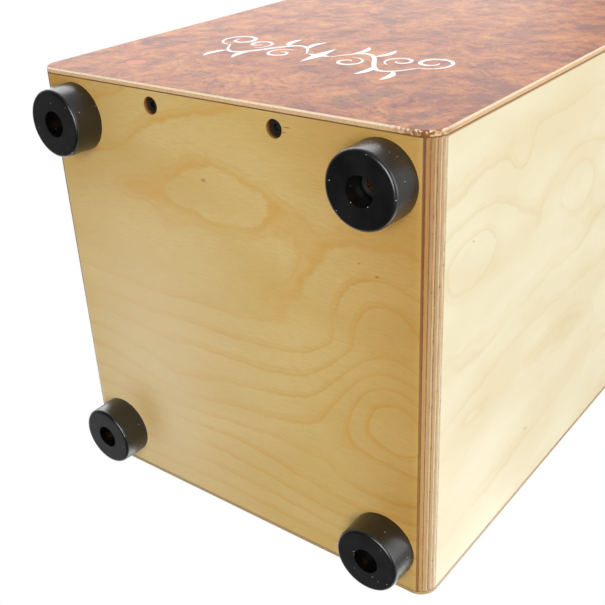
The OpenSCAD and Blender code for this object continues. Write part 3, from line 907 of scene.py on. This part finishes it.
def make_camera():
    camera = bpy.data.objects.new("camera", bpy.data.cameras.new("camera"))
    bpy.context.scene.collection.objects.link(camera)
    camera.data.lens = CAMERA_LENS
    camera.data.sensor_width = SENSOR_MM
    camera.data.clip_start = 0.01
    back = CAMERA_RIGHT.cross(CAMERA_UP)
    turn = [[CAMERA_RIGHT[i], CAMERA_UP[i], back[i]] for i in range(3)]
    camera.matrix_world = Matrix.Translation(CAMERA_AT) @ Matrix(turn).to_4x4()
    bpy.context.scene.camera = camera


def soft_light(name, direction, distance, size, power, target=(0, 0, 0.2)):
    """A square softbox that faces the target from a direction."""
    light = bpy.data.lights.new(name, "AREA")
    light.shape = "SQUARE"
    light.size = size
    light.energy = power
    lamp = bpy.data.objects.new(name, light)
    bpy.context.scene.collection.objects.link(lamp)
    lamp.visible_camera = False
    way = Vector(direction).normalized()
    lamp.location = Vector(target) + way * distance
    lamp.rotation_mode = "QUATERNION"
    lamp.rotation_quaternion = way.to_track_quat("Z", "Y")


def make_floor():
    """A pale disc that fades out, seen only from above so that the underside stays in view."""
    g = Graph("pale_floor")
    reach = g.vector("LENGTH", g.vector("MULTIPLY", g.place, (1.0, 1.0, 0.0)))
    grain = g.noise(g.place, 40.0, 3.0)
    colour = g.mix(g.span(grain, 0.3, 0.7, 0.0, 0.5), srgb(240, 240, 239), srgb(236, 236, 235))
    shader = g.new("ShaderNodeBsdfDiffuse")
    g.link(colour, shader.inputs[0])
    clear = g.new("ShaderNodeBsdfTransparent")
    below = g.new("ShaderNodeNewGeometry").outputs["Backfacing"]
    hidden = g.math("MAXIMUM", below, g.span(reach, 0.7, 2.2))
    blend = g.new("ShaderNodeMixShader")
    g.link(hidden, blend.inputs[0])
    g.link(shader.outputs[0], blend.inputs[1])
    g.link(clear.outputs[0], blend.inputs[2])
    output = g.new("ShaderNodeOutputMaterial")
    g.link(blend.outputs[0], output.inputs["Surface"])
    bm = bmesh.new()
    bmesh.ops.create_circle(bm, cap_ends=True, radius=FLOOR_R, segments=64)
    mesh = bpy.data.meshes.new("floor")
    bm.to_mesh(mesh)
    bm.free()
    mesh.materials.append(g.material)
    floor = bpy.data.objects.new("floor", mesh)
    bpy.context.scene.collection.objects.link(floor)
    floor.location.z = cad_low.z - FLOOR_GAP
    floor.visible_diffuse = False
    floor.visible_glossy = False
    floor.visible_transmission = False
    floor.visible_shadow = False


def make_world():
    """White to the camera, and a softer studio for the light on the object."""
    world = bpy.data.worlds.new("studio")
    bpy.context.scene.world = world
    world.use_nodes = True
    tree = world.node_tree
    tree.nodes.clear()
    seen = tree.nodes.new("ShaderNodeBackground")
    seen.inputs[0].default_value = (1, 1, 1, 1)
    seen.inputs[1].default_value = 1.0
    lit = tree.nodes.new("ShaderNodeBackground")
    lit.inputs[1].default_value = 1.0
    place = tree.nodes.new("ShaderNodeTexCoord")
    split = tree.nodes.new("ShaderNodeSeparateXYZ")
    tree.links.new(place.outputs["Generated"], split.inputs[0])
    ramp = tree.nodes.new("ShaderNodeValToRGB")
    height = tree.nodes.new("ShaderNodeMapRange")
    height.inputs["From Min"].default_value = -1.0
    tree.links.new(split.outputs[2], height.inputs["Value"])
    tree.links.new(height.outputs[0], ramp.inputs[0])
    elements = ramp.color_ramp.elements
    while len(elements) < len(SKY_LEVELS):
        elements.new(1.0)
    for element, (position, level) in zip(elements, SKY_LEVELS):
        element.position = position
        element.color = (level, level, level, 1.0)
    tree.links.new(ramp.outputs[0], lit.inputs[0])
    rays = tree.nodes.new("ShaderNodeLightPath")
    blend = tree.nodes.new("ShaderNodeMixShader")
    tree.links.new(rays.outputs["Is Camera Ray"], blend.inputs[0])
    tree.links.new(lit.outputs[0], blend.inputs[1])
    tree.links.new(seen.outputs[0], blend.inputs[2])
    output = tree.nodes.new("ShaderNodeOutputWorld")
    tree.links.new(blend.outputs[0], output.inputs[0])


make_camera()
make_world()
make_floor()
soft_light("tapa_softbox", (-0.70, -0.42, 0.58), 1.6, 2.0, 36.0)
soft_light("side_softbox", (1.0, -0.25, 0.15), 1.6, 1.4, 11.5)
soft_light("back_softbox", (0.30, 1.0, 0.35), 1.8, 1.6, 16.0)
soft_light("low_softbox", (-0.70, 0.70, -0.04), 1.2, 0.9, 3.2)
soft_light("under_softbox", (0.30, -0.22, -0.93), 2.0, 1.2, 34.0, target=(0, 0, 0.02))
bpy.context.scene.view_settings.view_transform = "Standard"
